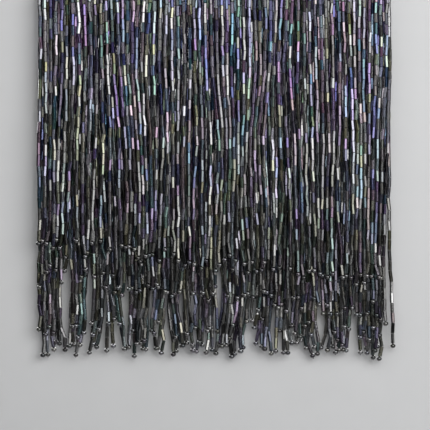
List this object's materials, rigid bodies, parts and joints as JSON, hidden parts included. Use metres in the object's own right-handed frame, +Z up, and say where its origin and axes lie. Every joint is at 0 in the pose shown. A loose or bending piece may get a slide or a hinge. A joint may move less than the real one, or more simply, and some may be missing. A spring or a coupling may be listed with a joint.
{
  "type": "beaded fringe trim",
  "caption": "Hanging trim of dark iris bugle-bead strands that end in round beads, short tiers before long ones, each pair sewn to a narrow heading tape.",
  "frame": {"origin": "middle of the top edge of the two heading tapes, halfway between them", "axes": "+Z up along the hanging strands, +X across the trim to the right as the front is seen, -Y out of the front with the short tiers"},
  "size_m": [0.2117, 0.01, 0.2355],
  "materials": {
    "front_beads": "opaque dark glass, iris metallic coating, cut facets",
    "rear_beads": "opaque dark glass, iris metallic coating, cut facets",
    "heading_tape": "black ribbed grosgrain, sewn along both edges"
  },
  "bodies": {
    "root": {"fringe_front": "front_beads", "fringe_rear": "rear_beads"}
  },
  "joints": []
}
